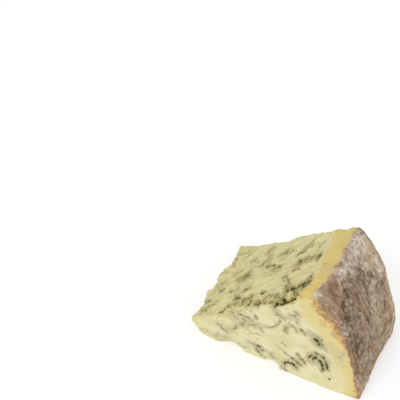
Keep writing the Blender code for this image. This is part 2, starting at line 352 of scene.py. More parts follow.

# Wide soft smears of the same mould, and on the front one band of painted shade
tornSmears = [
    (0.60, 3.0, [(31.6, 26.6), (36.9, 29.0)]),
    (0.50, 2.2, [(45.7, 33.0), (53.1, 30.2), (61.0, 27.8)]),
    (0.55, 2.4, [(47.2, 35.2), (43.7, 42.2)]),
    (0.45, 2.0, [(39.9, 48.0), (43.7, 48.0)]),
    (0.60, 2.2, [(70.0, 40.2), (71.8, 46.3)]),
    (0.60, 2.0, [(74.8, 27.5), (79.0, 29.5), (82.8, 32.0)]),
    (0.40, 2.0, [(37.4, 11.5), (42.0, 8.6), (47.1, 7.3), (50.7, 8.4)]),
    (0.30, 2.2, [(15.9, 17.9), (19.2, 23.3), (26.0, 24.8)]),
    (0.40, 2.0, [(54.8, 36.4), (59.2, 38.3)]),
    (0.55, 1.8, [(87.0, 15.9), (86.2, 11.3)]),
    (0.35, 2.4, [(51.3, 24.1), (58.5, 24.5)]),
    (0.42, 2.0, [(69.7, 6.0), (74.5, 1.9), (77.9, -1.4), (82.5, -1.9), (87.2, -1.4)]),
    (0.55, 2.2, [(55.0, 4.0), (66.0, 2.0)]),
    (0.45, 1.8, [(80.6, 42.0), (79.8, 37.2)]),
    (0.50, 2.0, [(20.0, 8.0), (27.0, 9.5)]),
    (0.45, 1.6, [(16.4, 49.0), (24.2, 49.6)]),
]
frontSmearsAndShade = [
    (0.60, 3.6, [(32.9, 24.8), (41.5, 24.5), (48.8, 25.5)]),
    (0.45, 3.0, [(27.0, 13.0), (34.7, 14.0)]),
    (0.55, 2.4, [(38.7, 20.8), (35.1, 16.7)]),
    (0.55, 2.2, [(58.3, 41.8), (61.3, 38.5), (68.2, 41.4)]),
    (0.40, 2.6, [(64.3, 35.2), (68.5, 35.6)]),
    (0.60, 2.4, [(74.2, 33.9), (79.3, 31.8), (83.7, 28.3)]),
    (0.55, 2.6, [(42.6, 9.7), (49.3, 8.3), (56.7, 8.4)]),
    (0.60, 3.0, [(62.6, 6.7), (68.0, 9.0), (73.2, 12.9)]),
    (0.65, 2.8, [(76.4, 19.9), (84.9, 20.0), (85.3, 13.8)]),
    # painted shade of the tip's rounded underside, drawn as a smear in the mould's haze colour
    (0.40, 3.0, [(18.0, 4.0), (24.8, 4.7), (33.0, 7.3)]),
    (0.38, 4.5, [(85.0, 31.0), (92.5, 24.0)]),
    (0.45, 2.4, [(86.1, 33.0), (88.6, 29.1), (93.6, 27.9)]),
    (0.30, 4.0, [(51.9, 20.1), (62.0, 21.8), (72.7, 22.9)]),
    (0.35, 1.8, [(88.5, 9.5), (84.5, 7.5)]),
]

# Brown spots, the pinkish paste where the torn cut meets the rind, and yellower paste
tornRust = [
    (1.05, 0.9, [(17.8, 42.4), (18.1, 45.0)]),
    (1.00, 0.9, [(72.4, 22.7), (74.6, 23.8)]),
    (0.45, 1.5, [(71.5, 25.1), (70.1, 27.4)]),
    (0.50, 1.2, [(21.5, 4.5), (19.5, 3.4)]),
]
frontRust = [
    (0.55, 0.9, [(82.2, 11.0), (83.0, 10.4)]),
    (0.35, 0.7, [(62.6, 29.5), (63.0, 31.5)]),
    (0.35, 0.8, [(90.3, 25.4), (92.1, 26.0)]),
    (0.55, 1.2, [(87.5, 40.5), (89.0, 39.4)]),
]
tornBlush = [
    (0.85, 2.8, [(97.8, 17.9), (101.0, 16.0), (104.0, 9.5)]),
    (0.60, 2.4, [(94.0, 21.0), (98.5, 19.0)]),
]
yellowSpots = [
    (0.7, 1.6, [(20.0, 6.1)]),
    (0.7, 1.6, [(24.6, 3.5), (27.6, 2.1)]),
    (0.5, 2.2, [(57.5, 13.0), (60.5, 9.5)]),
    (0.4, 1.5, [(41.5, 14.5)]),
    (0.5, 1.2, [(53.8, 30.2)]),
    (0.45, 3.2, [(61.9, 38.7), (70.0, 43.0)]),
    (0.35, 2.6, [(38.4, 11.8)]),
    (0.55, 3.6, [(82.5, 43.0), (86.0, 38.0)]),
    (0.55, 4.0, [(91.4, 12.0), (90.5, 22.0)]),
]

# Small round marks, in the mould's colour; the last two on the front are partly olive spots and partly
# painted shade under the tip
tornDots = [
    (0.55, 0.9, [(72.6, 30.0)]),
    (0.80, 0.7, [(60.4, 31.0)]),
    (0.70, 0.7, [(54.2, 40.5)]),
]
frontDotsAndShade = [
    (1.30, 0.70, [(87.0, 6.8)]),
    (0.62, 1.5, [(46.4, 31.2), (46.8, 29.8)]),
    (0.50, 1.1, [(56.9, 5.9)]),
    (0.45, 1.0, [(58.5, 40.0)]),
    # partly olive spots, partly painted shade of the tip's rounded underside
    (0.35, 1.2, [(26.7, 7.8), (24.7, 3.8)]),
    (0.30, 1.3, [(20.2, 5.2)]),
]

# Orange tints of the front's paste, near the rind
peachSpots = [
    (0.34, 1.7, [(87.4, 40.1)]),
    (0.30, 1.6, [(90.2, 37.4)]),
    (0.26, 1.3, [(92.2, 23.9)]),
    (0.26, 1.3, [(88.4, 23.9)]),
    (0.24, 1.2, [(82.3, 10.8)]),
    (0.26, 1.5, [(96.5, 19.0)]),
]


def joined(groups):
    return [stroke for group in groups.values() for stroke in group]


# Veins by chance, in loose groups, for the back face and the foot, which the photograph hides
chance = {
    "seed": 23,
    "backGroups": 17,
    "footGroups": 14,
    "out": (18.0, 92.0),
    "up": (3.0, 60.0),  # on the foot, back
    "spread": 3.6,  # of the curls about the middle of their group
    "curls": (3, 6),
    "bends": (1, 4),
    "mostBend": 1.1,  # radians
    "step": (1.2, 3.0),
    "pale": 0.35,
    "darker": 0.85,  # by how much the darkest passes the palest
    "width": (0.55, 0.95),
    "smearDark": (0.35, 0.60),
    "smearWidth": (2.0, 3.2),
    "reach": (18.0, 93.0),  # from the axis
    "underTorn": 0.03,  # radians kept free below the torn cut
    "fromBack": 3.0,
}


def chanceVeins(rng, groups, inside):
    strokes = []
    smears = []
    while len(smears) < groups:
        middle = np.array([rng.uniform(*chance["out"]), rng.uniform(*chance["up"])])
        if not inside(middle):
            continue
        starts = []
        for _ in range(rng.randint(*chance["curls"])):
            place = middle + np.array([rng.gauss(0.0, chance["spread"]), rng.gauss(0.0, chance["spread"])])
            starts.append(tuple(place))
            heading = rng.uniform(0.0, 2.0 * math.pi)
            path = [tuple(place)]
            for _ in range(rng.randint(*chance["bends"])):
                heading += rng.uniform(-chance["mostBend"], chance["mostBend"])
                step = rng.uniform(*chance["step"])
                place = place + step * np.array([math.cos(heading), math.sin(heading)])
                path.append(tuple(place))
            darkness = chance["pale"] + chance["darker"] * rng.random() ** 2
            strokes.append((darkness, rng.uniform(*chance["width"]), path))
        smears.append((rng.uniform(*chance["smearDark"]), rng.uniform(*chance["smearWidth"]), starts))
    return strokes, smears


def insideBack(place):
    nearest, farthest = chance["reach"]
    highest = sector["angle"] - chance["underTorn"]
    return nearest < math.hypot(*place) < farthest and math.atan2(place[1], place[0]) < highest


def insideFoot(place):
    return place[1] < sector["thickness"] - chance["fromBack"]


rng = random.Random(chance["seed"])
backVeins, backSmears = chanceVeins(rng, chance["backGroups"], insideBack)
footVeins, footSmears = chanceVeins(rng, chance["footGroups"], insideFoot)

mould = {
    "tornCrinkle": 1.5,  # how far a stroke is jogged about
    "wireCrinkle": 1.05,
    "vein": 1.25,  # times a stroke's half width
    "tornVeil": 2.2,
    "wireVeil": 2.6,
    "tornDeep": (2.6, 4.2),  # the torn cut's veins end between these depths
    "smudge": 0.75,  # strength of the torn cut's smudges
    "curl": 0.62,  # and of the thin curls on the other faces
}

tornPlace = crinkled(tornFlat, coords, mould["tornCrinkle"], 3.0)
frontPlace, backPlace, footPlace = (
    crinkled(flat, coords, mould["wireCrinkle"], 9.0) for flat in (frontFlat, backFlat, footFlat)
)
offCrust = 1.0 - crust
tornReach = (1.0 - ease(tornDown, *mould["tornDeep"])) * offCrust
frontReach = front * offCrust
backReach = back * offCrust
footReach = foot * offCrust

# Mould comes in flecks, so each stroke is broken up along its way
broken = np.clip(0.74 + 0.90 * rough(coords, 1.6, 2, 47.0) + 0.5 * speck, 0.25, 1.15)
vein = np.zeros(len(coords))
veil = np.zeros(len(coords))
veined = (
    (tornReach, tornPlace, joined(tornVeins), tornSmears, mould["tornVeil"]),
    (frontReach, frontPlace, joined(frontVeins), frontSmearsAndShade, mould["wireVeil"]),
    (backReach, backPlace, backVeins, backSmears, mould["wireVeil"]),
    (footReach, footPlace, footVeins, footSmears, mould["wireVeil"]),
)
for reach, flat, strokes, smears, spread in veined:
    shown = reach > 0.01
    share, place = reach[shown], flat[shown]
    line = share * broken[shown] * drawn(place, strokes, mould["vein"])
    haze = share * np.maximum(drawn(place, strokes, spread), drawn(place, smears))
    vein[shown] = np.maximum(vein[shown], line)
    veil[shown] = np.maximum(veil[shown], haze)
vein = np.maximum(vein, tornReach * drawn(tornFlat, tornDots))
vein = np.maximum(vein, frontReach * drawn(frontFlat, frontDotsAndShade))


def marbled(places, size, width, shift):
    # thin curls by chance, in patches
    ridge = rough(places, size, 2, shift) / width
    return ease(rough(places, 2.6 * size, 1, shift + 7.0), -0.10, 0.30) * np.exp(-ridge * ridge)


# On the torn cut the knife has dragged the mould out into smudges
dragU = tornOut * math.cos(sector["dragAngle"]) + along * math.sin(sector["dragAngle"])
dragV = along * math.cos(sector["dragAngle"]) - tornOut * math.sin(sector["dragAngle"])
dragged = np.stack([dragU / 3.2 + 0.5 * amble, dragV + 1.1 * fleck + 0.6 * speck, 0.6 * tornDown], 1)
smear = rough(dragged, 3.2, 2, 17.0)
patchy = rough(coords, 9.0, 2, 19.0) + 0.25 * ease(radius, 60.0, 84.0) - 0.12
smudge = ease(smear, 0.0, 0.40) * ease(patchy, -0.35, 0.20)

# Smudges and thin curls keep clear of the yellow band
inner = ease(np.minimum(frontGap + 3.0 * torn, tornGap + 2.0 * torn), 6.0, 11.0) * offCrust
veil = np.maximum(veil, mould["smudge"] * torn * smudge * inner * np.clip(broken, 0.4, 1.0))
wireFace = np.maximum(front, back)
curls = np.maximum(marbled(coords, 6.5, 0.12, 23.0), marbled(coords, 4.5, 0.14, 37.0))
veil = np.maximum(veil, mould["curl"] * np.maximum(wireFace, foot) * curls * inner)
print("veins drawn")

# How far in from the rind its colours reach
band = {
    "along": (0, 5, 14, 25, 35, 46),  # back over the torn cut
    "torn": (14.8, 12.6, 9.2, 10.0, 10.6, 11.6),
    "turn": (4, 13, 20, 32, 40),  # degrees up the front, from the foot
    "front": (7.5, 9.0, 12.0, 12.5, 10.0),
    "back": 7.0,
    "frontGlow": 3.6,  # the deeper yellow close to the rind
    "tornGlow": 3.0,
    "stainTurn": (0, 12, 20, 24, 28, 31, 34, 40),
    "frontStain": (1.9, 1.6, 2.0, 3.8, 5.8, 5.2, 3.6, 2.4),
    "backStain": 1.2,
    "blush": 2.5,
}


def beside(gap, reach):
    # 1 at the rind, fading out over this reach
    return np.exp(-(np.maximum(gap, 0.0) / reach) ** 2)


# The yellow band
tornBand = np.interp(tornFlat[:, 1], band["along"], band["torn"])
tornAmber = ease(tornBand + 1.8 * amble - tornGap, -7.0, 4.5)
frontBand = np.interp(frontTurn, band["turn"], band["front"])
frontAmber = ease(frontBand + 1.4 * amble - frontGap, -4.0, 3.0)
backAmber = ease(band["back"] + 1.4 * amble - backGap, -4.0, 3.0)
amber = tornAmber * torn
amber = np.maximum(amber, 0.9 * front * frontAmber)
amber = np.maximum(amber, 0.9 * np.maximum(back, foot) * backAmber)
amber = np.maximum(amber, front * drawn(frontFlat + 0.8 * fleck[:, None], yellowSpots))
tornGlow = torn * np.exp(-(tornGap / band["tornGlow"]) ** 2)
glow = 0.9 * np.maximum(front * beside(frontGap, band["frontGlow"]), tornGlow)
amber = (amber + glow * ease(amble + 0.6 * fleck, -0.45, 0.35)) * offCrust

# The orange brown that has soaked in from the rind, and the brown and pinkish spots
stainReach = np.interp(frontTurn, band["stainTurn"], band["frontStain"])
stainReach = stainReach * (1.0 + 0.9 * fleck + 0.5 * amble)
frontStain = front * (1.0 - ease(along, 3.0, 6.0)) * beside(frontGap, np.maximum(stainReach, 0.3))
backReachIn = np.maximum(band["backStain"] * (1.0 + fleck + amble), 0.3)
backStain = np.maximum(back, 0.7 * foot) * beside(backGap, backReachIn)
stain = np.maximum(frontStain, backStain) * offCrust
stain = np.maximum(stain, frontReach * drawn(frontPlace, peachSpots))
shallow = tornReach * (1.0 - ease(tornDown, 1.2, 2.4))
rust = np.maximum(drawn(tornPlace, tornRust) * shallow, drawn(frontPlace, frontRust) * frontReach)
blush = drawn(tornFlat + 1.5 * np.stack([fleck, amble], 1), tornBlush)
border = beside(tornGap, band["blush"])
blush = np.maximum(blush, 0.80 * border * ease(amble + 0.5 * fleck, -0.9, 0.3)) * torn

# Patches on the rind, as (strength, half width, path) with the arc up from the foot and the
# distance back from the front face
rindPatches = {
    "bloom": [
        (0.66, 6.0, [(67.5, 42.0), (65.5, 35.0)]),
        (0.66, 3.6, [(64.0, 30.0), (66.0, 19.0)]),
        (0.90, 3.6, [(61.5, 41.0)]),
        (0.55, 3.2, [(65.3, 32.4)]),
        (0.80, 2.6, [(69.5, 25.5)]),
        (0.50, 2.8, [(61.6, 25.0), (60.8, 31.5)]),
        (0.40, 3.6, [(44.5, 37.5), (46.0, 32.7)]),
        (0.45, 1.2, [(46.5, 2.2), (42.0, 4.2)]),
        (0.35, 1.8, [(50.5, 13.0)]),
        (0.35, 2.0, [(55.6, 4.6)]),
        (0.60, 2.4, [(68.6, 1.2)]),
        (0.45, 5.5, [(37.5, 31.1), (33.7, 27.0)]),
        (0.28, 5.0, [(22.1, 28.4)]),
        (0.45, 2.4, [(68.4, 17.0)]),
        (0.40, 2.4, [(2.5, 16.0), (3.5, 36.0)]),
        (0.75, 3.4, [(57.0, 36.5)]),
        (0.65, 3.4, [(51.0, 46.0), (46.0, 44.0)]),
        (0.40, 3.0, [(40.0, 37.4)]),
        (0.35, 4.0, [(30.0, 18.0), (24.0, 15.0)]),
    ],
    "soot": [
        (0.50, 3.2, [(54.6, 33.0), (54.0, 26.0)]),
        (0.50, 3.0, [(49.5, 36.5)]),
        (0.40, 2.0, [(65.4, 9.3), (61.0, 8.4)]),
        (0.70, 3.2, [(57.5, 14.0)]),
        (0.55, 2.4, [(56.6, 19.0)]),
        (0.45, 3.6, [(46.8, 26.2), (39.0, 20.2)]),
        (0.50, 2.6, [(51.5, 14.0)]),
        (0.50, 2.4, [(42.3, 6.5)]),
        (0.45, 2.6, [(19.0, 11.0)]),
        (1.05, 3.8, [(48.6, 9.1)]),
        (0.70, 2.2, [(59.7, 29.1)]),
        (1.15, 2.6, [(55.0, 9.5)]),
        (0.60, 1.6, [(44.5, 2.8)]),
        (0.45, 2.0, [(61.6, 18.0)]),
        (0.80, 2.4, [(50.0, 11.0)]),
        (0.60, 2.4, [(40.5, 3.4)]),
        (0.60, 2.6, [(41.0, 13.7)]),
        (0.85, 2.2, [(23.6, 37.6), (28.0, 40.0)]),
        (0.70, 2.4, [(38.8, 43.0)]),
        (0.75, 1.4, [(46.1, 0.4)]),
        (0.80, 5.0, [(35.0, 8.0), (27.0, 6.5)]),
        (0.40, 3.0, [(57.0, 22.5)]),
        (0.65, 3.0, [(36.9, 20.8)]),
        (0.34, 6.0, [(41.0, 8.0), (48.0, 12.0), (51.0, 20.0)]),
        (0.30, 6.0, [(28.0, 8.0), (34.0, 12.0)]),
    ],
    "straw": [
        (0.85, 4.6, [(53.3, 43.9), (62.0, 46.0)]),
        (0.75, 3.4, [(54.6, 38.5)]),
        (0.35, 1.8, [(37.0, 47.6)]),
        (0.35, 1.5, [(33.1, 47.1), (28.0, 47.4)]),
        (0.80, 2.2, [(11.3, 44.4), (16.0, 46.0)]),
        (0.60, 2.6, [(62.5, 15.6), (60.8, 12.6)]),
        (0.60, 3.0, [(6.0, 3.0), (4.0, 12.0)]),
        (0.45, 5.0, [(30.0, 36.0), (20.0, 38.0)]),
        (0.60, 3.6, [(12.8, 38.6)]),
        (0.40, 3.0, [(14.0, 5.0)]),
        (0.60, 2.6, [(60.5, 43.5)]),
        (0.55, 2.6, [(48.0, 48.5)]),
        (0.62, 5.0, [(60.0, 48.0), (40.0, 49.0), (14.0, 46.0)]),
        (0.60, 3.0, [(2.5, 10.0), (4.0, 28.0), (7.0, 42.0)]),
        (0.40, 8.0, [(14.0, 24.0), (34.0, 34.0)]),
    ],
    "flush": [
        (1.00, 2.1, [(71.0, 9.0), (70.5, 22.0)]),
        (0.60, 1.8, [(69.0, 3.0), (60.0, 2.0), (50.0, 2.2)]),
        (0.50, 2.2, [(64.0, 16.0), (60.0, 11.0)]),
        (0.40, 1.4, [(45.0, 1.6), (25.0, 1.2)]),
        (0.90, 1.5, [(15.0, 1.0), (1.0, 1.0)]),
        (0.80, 2.0, [(71.5, 26.0), (71.0, 46.0)]),
    ],
    "ruddy": [
        (0.90, 3.0, [(66.5, 10.0), (60.0, 7.5), (52.0, 5.5)]),
        (0.65, 3.0, [(36.0, 4.0), (18.0, 3.0)]),
        (0.35, 3.0, [(56.0, 25.0), (57.0, 30.0)]),
        (0.40, 5.0, [(30.0, 14.0), (40.0, 20.0)]),
    ],
    "toast": [
        (1.10, 1.5, [(48.0, 1.2), (52.0, 0.2)]),
        (1.00, 1.6, [(54.5, 0.0), (58.0, 0.3)]),
        (0.80, 1.3, [(60.0, 0.0), (65.0, 0.0)]),
        (0.80, 1.0, [(40.0, 0.0), (12.0, 0.6)]),
        (0.60, 1.5, [(1.0, 2.0), (6.0, 0.6)]),
        (0.45, 2.2, [(44.0, 21.0)]),
        (0.40, 2.0, [(50.0, 20.0)]),
    ],
}
rindFlat = np.stack([arc, along], 1) + 2.2 * np.stack([fleck, amble], 1)
rindMarks = {name: drawn(rindFlat, patches) for name, patches in rindPatches.items()}


# Relief, outwards in millimetres

relief = {
    "lumps": 0.50,
    "grains": 0.95,  # where the torn cut crumbles
    "drag": 0.42,
    "dragFine": 0.22,
    "crevice": 1.70,
    "knob": 1.30,
    "wireWave": 0.07,
    "wirePore": 0.22,
    "wireVein": 0.26,
    "wrinkle": 0.50,
    "crease": 0.40,
    "fibre": 0.12,
    "calm": 0.6,  # how much of the torn relief the yellow band loses
}

# Lumps along the torn cut's front border, between the crevices, as (strength, half width, place)
knobs = [
    (1.1, 2.6, [(81.6, 3.0)]),
    (0.9, 2.2, [(70.8, 4.6)]),
    (0.7, 1.8, [(66.0, 4.4)]),
    (0.7, 2.0, [(58.0, 4.8)]),
    (0.7, 1.5, [(74.6, 5.6)]),
    (0.6, 1.4, [(77.6, 4.4)]),
    (0.6, 1.4, [(62.6, 5.2)]),
    (0.5, 1.5, [(53.6, 7.4)]),
    (0.7, 2.0, [(39.4, 12.0)]),
    (0.5, 2.2, [(28.4, 9.7)]),
    (0.6, 1.8, [(45.8, 9.4)]),
    (0.5, 2.0, [(72.4, 9.6)]),
]


def brokenBorder(begins, ends):
    # the crumbly border between the torn cut and the front face, between these distances back
    return (1.0 - ease(tornDown, 0.5, 3.5)) * (1.0 - ease(along, begins, ends)) * ease(tornGap, 8.0, 14.0)


def tornRelief(edge):
    left = 1.0 - ease(radius, 24.0, 34.0)
    crumbly = np.clip(0.22 + edge + 0.6 * left + 0.5 * ease(along, 46.0, 52.0), 0.0, 1.2)
    calm = 1.0 - relief["calm"] * tornAmber
    lift = relief["lumps"] * rough(coords, 6.0, 3, 61.0) * calm
    lift = lift + relief["grains"] * (cells(coords, 2.6, 67.0) - 0.22) * crumbly
    lift = lift + relief["drag"] * smear * calm
    lift = lift + relief["dragFine"] * rough(dragged, 1.1, 2, 29.0)
    lift = lift - relief["crevice"] * vein * (0.35 + 0.8 * edge)
    return lift + relief["knob"] * drawn(tornPlace, knobs)


def wireRelief():
    pores = rough(coords, 1.3, 1, 71.0)
    lift = relief["wireWave"] * rough(coords, 6.0, 2, 73.0)
    return lift - relief["wirePore"] * ease(pores, 0.42, 0.70) - relief["wireVein"] * vein


def rindRelief():
    wraps = np.stack([arc / 2.6, along, 0.6 * radius], 1)  # drawn out round the rind
    lift = relief["wrinkle"] * rough(coords, 5.5, 3, 79.0)
    lift = lift - relief["crease"] * ease(0.16 - np.abs(rough(wraps, 2.6, 2, 83.0)), 0.0, 0.16)
    return lift + relief["fibre"] * rough(wraps, 1.1, 2, 89.0)


def wholeRelief():
    edge = brokenBorder(3.0, 11.0)
    tornPart = np.clip(np.maximum(torn, edge), 0.0, 1.0) * offCrust
    wirePart = np.clip(wireFace, 0.0, 1.0) * (1.0 - tornPart) * offCrust
    lift = crust * rindRelief() + tornPart * tornRelief(edge) + wirePart * wireRelief()
    return lift * ease(height, 0.15, 1.2)  # none where the wedge rests


coords = coords + normals * wholeRelief()[:, None]

# The broken tip is drawn out to a point in front
tip = {"height": 11.5, "halfHeight": 3.6, "halfWidth": 5.5, "reach": 2.0}
pointed = np.exp(-((height - tip["height"]) / tip["halfHeight"]) ** 2 - (along / tip["halfWidth"]) ** 2)
coords[:, 0] -= tip["reach"] * pointed * (1.0 - ease(radius, 13.0, 27.0))
coords[:, 2] = np.maximum(coords[:, 2], 0.0)
writeCoords(wedge.data, coords)
wedge.data.shade_smooth()

fields = {
    "polarPlace": np.stack([arc, along, radius], 1) * mm,
    "crust": crust,
    "torn": np.maximum(torn, 0.6 * foot),
    "amber": amber,
    "stain": stain,
    "vein": vein,
    "veil": veil,
    "rust": rust,
    "blush": blush,
    **rindMarks,
}
for name, values in fields.items():
    addField(wedge.data, name, values)
print("relief and fields written")


# Materials

def paint(red, green, blue):
    # a colour as the eye names it, 0 to 255, made linear
    shares = [channel / 255.0 for channel in (red, green, blue)]
    return (*[s / 12.92 if s <= 0.04045 else ((s + 0.055) / 1.055) ** 2.4 for s in shares], 1.0)


def wire(tree, value, socket):
    if isinstance(value, bpy.types.NodeSocket):
        tree.links.new(value, socket)
    else:
        socket.default_value = value


def field(tree, name):
    reader = tree.nodes.new("ShaderNodeAttribute")
    reader.attribute_name = name
    return reader.outputs["Vector" if name == "polarPlace" else "Fac"]


# Noise textures, as (scale, detail, roughness, distortion)
grains = {
    "blotch": (110.0, 3.0, 0.5, 0.0),
    "fine": (800.0, 3.0, 0.6, 0.0),
    "streak": (380.0, 4.0, 0.6, 0.3),
    "speckle": (1000.0, 2.0, 0.6, 0.0),
    "rot": (430.0, 4.0, 0.62, 0.3),
    "fibre": (780.0, 4.0, 0.6, 0.5),
    "thread": (1200.0, 2.0, 0.5, 0.5),
    "mottle": (270.0, 6.0, 0.66, 0.2),
    "cloud": (330.0, 6.0, 0.68, 0.0),
    "freckle": (430.0, 4.0, 0.6, 0.5),
    "dust": (1500.0, 2.0, 0.6, 0.0),
    "crack": (480.0, 3.0, 0.6, 0.7),
}


def grain(tree, place, name):
    texture = tree.nodes.new("ShaderNodeTexNoise")
    wire(tree, place, texture.inputs["Vector"])
    for socket, value in zip(("Scale", "Detail", "Roughness", "Distortion"), grains[name]):
        texture.inputs[socket].default_value = value
    return texture.outputs["Fac"]


def stretched(tree, place, turn, scale):
    # a pattern on these places comes out so much longer along each axis
    mapping = tree.nodes.new("ShaderNodeMapping")
    mapping.vector_type = "TEXTURE"
    mapping.inputs["Rotation"].default_value = turn
    mapping.inputs["Scale"].default_value = scale
    wire(tree, place, mapping.inputs["Vector"])
    return mapping.outputs["Vector"]


def between(tree, value, low, high):
    span = tree.nodes.new("ShaderNodeMapRange")
    span.interpolation_type = "SMOOTHSTEP"
    wire(tree, value, span.inputs["Value"])
    span.inputs["From Min"].default_value = low
    span.inputs["From Max"].default_value = high
    return span.outputs["Result"]


def reckon(tree, operation, first, second=0.0, third=0.0):
    step = tree.nodes.new("ShaderNodeMath")
    step.operation = operation
    for value, socket in zip((first, second, third), step.inputs):
        wire(tree, value, socket)
    return step.outputs["Value"]


def times(tree, first, second):
    return reckon(tree, "MULTIPLY", first, second)


def worn(tree, share, texture, gain, start):
    # a share that comes and goes with a texture
    return times(tree, share, reckon(tree, "MULTIPLY_ADD", texture, gain, start))


def mixed(tree, share, under, upper, kind, sockets):
    # a mix node has sockets for every kind of value, told apart by their numbers
    layer = tree.nodes.new("ShaderNodeMix")
    layer.data_type = kind
    firstIn, secondIn, out = sockets
    wire(tree, share, layer.inputs[0])
    wire(tree, under, layer.inputs[firstIn])
    wire(tree, upper, layer.inputs[secondIn])
    return layer.outputs[out]


def over(tree, share, under, upper):
    return mixed(tree, share, under, upper, "RGBA", (6, 7, 2))


# Colours as the eye names them, 0 to 255
cheese = {
    "cream": (221, 214, 172),
    "creamDeep": (214, 205, 154),
    "tornPale": (222, 213, 160),
    "tornOliveAndShade": (207, 197, 144),
    "speckTorn": (168, 156, 100),
    "amberWire": (214, 199, 137),
    "amberTorn": (214, 193, 116),
    "deepWire": (212, 188, 122),
    "deepTorn": (211, 183, 108),
    "peach": (206, 171, 111),
    "stain": (168, 124, 78),
    "veilWire": (187, 180, 139),
    "veilTorn": (164, 153, 100),
    "softWire": (153, 148, 107),
    "softTorn": (140, 130, 82),
    "veinWire": (78, 71, 30),
    # the torn cut's vein colour is darker, partly mould and partly painted shade of the pockets it lies in
    "veinTornAndShade": (68, 61, 29),
    "rust": (134, 99, 52),
    "blush": (209, 182, 134),
    "crustBrown": (124, 98, 71),
    "crustGrey": (173, 155, 135),
    "crustDark": (98, 78, 56),
    "crustTan": (190, 160, 122),
    "thread": (203, 189, 169),
    "bloom": (222, 210, 195),
    "soot": (82, 64, 43),
    "straw": (208, 186, 148),
    "flush": (188, 155, 120),
    "ruddy": (144, 106, 80),
    "toast": (158, 120, 84),
}


slant = (0.0, 0.0, math.radians(-8.0))  # the rind's fibres lean so much off the way round
longFibre = (4.0, 1.0, 1.0)


def pasteColour(tree, place, streak, tornShare, hues):
    # even cream on the wire cuts, streaked and duller where it is torn; the duller olive is partly the
    # paste's own colour and partly painted shade between the crumbs and bounced light
    blotched = between(tree, grain(tree, place, "blotch"), 0.38, 0.70)
    wirePaste = over(tree, blotched, hues["cream"], hues["creamDeep"])
    tornPaste = over(tree, between(tree, streak, 0.36, 0.66), hues["tornPale"], hues["tornOliveAndShade"])
    speckled = between(tree, grain(tree, place, "speckle"), 0.52, 0.72)
    tornPaste = over(tree, times(tree, speckled, 0.50), tornPaste, hues["speckTorn"])
    paste = over(tree, tornShare, wirePaste, tornPaste)

    # the yellow band, the pinkish border and what has soaked in from the rind
    amberHue = over(tree, tornShare, hues["amberWire"], hues["amberTorn"])
    deepHue = over(tree, tornShare, hues["deepWire"], hues["deepTorn"])
    amber = worn(tree, field(tree, "amber"), streak, 1.2, 0.4)
    paste = over(tree, between(tree, amber, 0.06, 0.90), paste, amberHue)
    paste = over(tree, between(tree, amber, 0.90, 1.80), paste, deepHue)
    paste = over(tree, field(tree, "blush"), paste, hues["blush"])
    soaked = worn(tree, field(tree, "stain"), grain(tree, place, "rot"), 2.8, -0.4)
    paste = over(tree, between(tree, soaked, 0.02, 0.70), paste, hues["peach"])
    return over(tree, between(tree, soaked, 0.50, 1.15), paste, hues["stain"])


def mouldOver(tree, paste, fine, tornShare, hues):
    # a soft veil round each vein, then the vein itself with a ragged edge, darker on the torn cut, partly
    # as painted shade of the pockets there
    veilHue = over(tree, tornShare, hues["veilWire"], hues["veilTorn"])
    softHue = over(tree, tornShare, hues["softWire"], hues["softTorn"])
    veinHue = over(tree, tornShare, hues["veinWire"], hues["veinTornAndShade"])
    veil = worn(tree, field(tree, "veil"), fine, 1.4, 0.3)
    vein = worn(tree, field(tree, "vein"), fine, 2.2, -0.1)
    paste = over(tree, between(tree, veil, 0.05, 0.75), paste, veilHue)
    paste = over(tree, between(tree, vein, 0.06, 0.66), paste, softHue)
    # veins on the torn cut darken further, partly painted shade of its pockets
    dark = worn(tree, vein, tornShare, 0.3, 1.0)
    paste = over(tree, between(tree, dark, 0.48, 0.98), paste, veinHue)
    return over(tree, worn(tree, field(tree, "rust"), fine, 1.2, 0.36), paste, hues["rust"])


